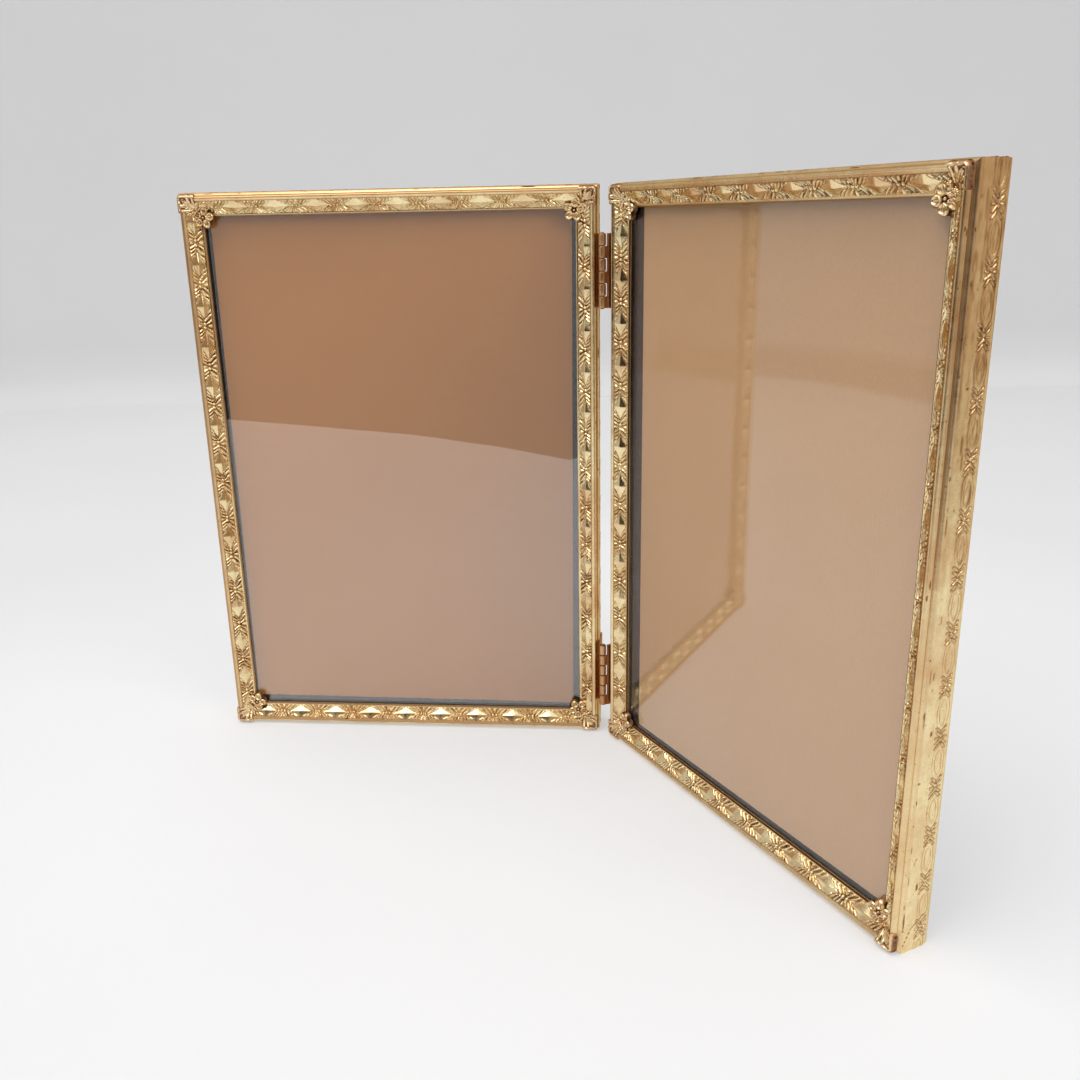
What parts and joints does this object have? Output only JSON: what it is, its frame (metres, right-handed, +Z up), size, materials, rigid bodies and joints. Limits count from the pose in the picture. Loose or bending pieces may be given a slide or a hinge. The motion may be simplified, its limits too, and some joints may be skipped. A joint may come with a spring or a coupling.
{
  "type": "hinged double photo frame",
  "caption": "Folding tabletop photo frame of gilt embossed brass: hinged glazed panels with cast corner ornaments, standing open like a book.",
  "frame": {"origin": "on the standing surface, under the centre of the open frame's box", "axes": "+Z up, -Y towards the viewer with both pictures facing -Y, +X from the left panel to the right panel; the V is symmetric about X = 0"},
  "size_m": [0.2516, 0.075, 0.187],
  "materials": {
    "gilt_brass": "stamped relief, polished on the high spots with brown tarnish in the hollows",
    "antique_brass": "cast, dark gold patina",
    "hinge_brass": "plain, lightly tarnished",
    "hinge_pin": "drawn wire",
    "plain_brass": "stamped, satin",
    "clear_glass": "clear, polished, with a little dust",
    "kraft_card": "uncoated brown kraft",
    "grey_board": "matt charcoal paper over board"
  },
  "bodies": {
    "left_panel": {"left_top_rail": "gilt_brass", "left_bottom_rail": "gilt_brass", "left_hinge_stile": "gilt_brass", "left_outer_stile": "gilt_brass", "left_top_hinge_ornament": "antique_brass", "left_bottom_hinge_ornament": "antique_brass", "left_top_outer_ornament": "antique_brass", "left_bottom_outer_ornament": "antique_brass", "left_glass": "clear_glass", "left_insert_card": "kraft_card", "left_backing_board": "grey_board", "left_button_rivets": "plain_brass", "left_upper_hinge_leaf": "hinge_brass", "left_lower_hinge_leaf": "hinge_brass", "upper_hinge_pin": "hinge_pin", "lower_hinge_pin": "hinge_pin"},
    "right_panel": {"right_top_rail": "gilt_brass", "right_bottom_rail": "gilt_brass", "right_hinge_stile": "gilt_brass", "right_outer_stile": "gilt_brass", "right_top_hinge_ornament": "antique_brass", "right_bottom_hinge_ornament": "antique_brass", "right_top_outer_ornament": "antique_brass", "right_bottom_outer_ornament": "antique_brass", "right_glass": "clear_glass", "right_insert_card": "kraft_card", "right_backing_board": "grey_board", "right_button_rivets": "plain_brass", "right_upper_hinge_leaf": "hinge_brass", "right_lower_hinge_leaf": "hinge_brass"},
    "left_top_button": {"left_top_button": "plain_brass"},
    "left_bottom_button": {"left_bottom_button": "plain_brass"},
    "left_hinge_side_button": {"left_hinge_side_button": "plain_brass"},
    "left_outer_side_button": {"left_outer_side_button": "plain_brass"},
    "right_top_button": {"right_top_button": "plain_brass"},
    "right_bottom_button": {"right_bottom_button": "plain_brass"},
    "right_hinge_side_button": {"right_hinge_side_button": "plain_brass"},
    "right_outer_side_button": {"right_outer_side_button": "plain_brass"}
  },
  "joints": [
    {"name": "panel_hinge", "type": "hinge", "parent": "left_panel", "child": "right_panel", "pos_m": [0, 0.02667, 0.0935], "axis": [0, 0, 1], "range_deg": [-123, 57]},
    {"name": "left_top_button_turn", "type": "hinge", "parent": "left_panel", "child": "left_top_button", "pos_m": [-0.06577, 0.00393, 0.18495], "axis": [-0.4772, 0.8788, 0], "range_deg": [-90, 90]},
    {"name": "left_bottom_button_turn", "type": "hinge", "parent": "left_panel", "child": "left_bottom_button", "pos_m": [-0.06577, 0.00393, 0.00205], "axis": [-0.4772, 0.8788, 0], "range_deg": [-90, 90]},
    {"name": "left_hinge_side_button_turn", "type": "hinge", "parent": "left_panel", "child": "left_hinge_side_button", "pos_m": [-0.00834, 0.03511, 0.0935], "axis": [-0.4772, 0.8788, 0], "range_deg": [-90, 90]},
    {"name": "left_outer_side_button_turn", "type": "hinge", "parent": "left_panel", "child": "left_outer_side_button", "pos_m": [-0.1232, -0.02726, 0.0935], "axis": [-0.4772, 0.8788, 0], "range_deg": [-90, 90]},
    {"name": "right_top_button_turn", "type": "hinge", "parent": "right_panel", "child": "right_top_button", "pos_m": [0.06577, 0.00393, 0.18495], "axis": [0.4772, 0.8788, 0], "range_deg": [-90, 90]},
    {"name": "right_bottom_button_turn", "type": "hinge", "parent": "right_panel", "child": "right_bottom_button", "pos_m": [0.06577, 0.00393, 0.00205], "axis": [0.4772, 0.8788, 0], "range_deg": [-90, 90]},
    {"name": "right_hinge_side_button_turn", "type": "hinge", "parent": "right_panel", "child": "right_hinge_side_button", "pos_m": [0.00834, 0.03511, 0.0935], "axis": [0.4772, 0.8788, 0], "range_deg": [-90, 90]},
    {"name": "right_outer_side_button_turn", "type": "hinge", "parent": "right_panel", "child": "right_outer_side_button", "pos_m": [0.1232, -0.02726, 0.0935], "axis": [0.4772, 0.8788, 0], "range_deg": [-90, 90]}
  ]
}
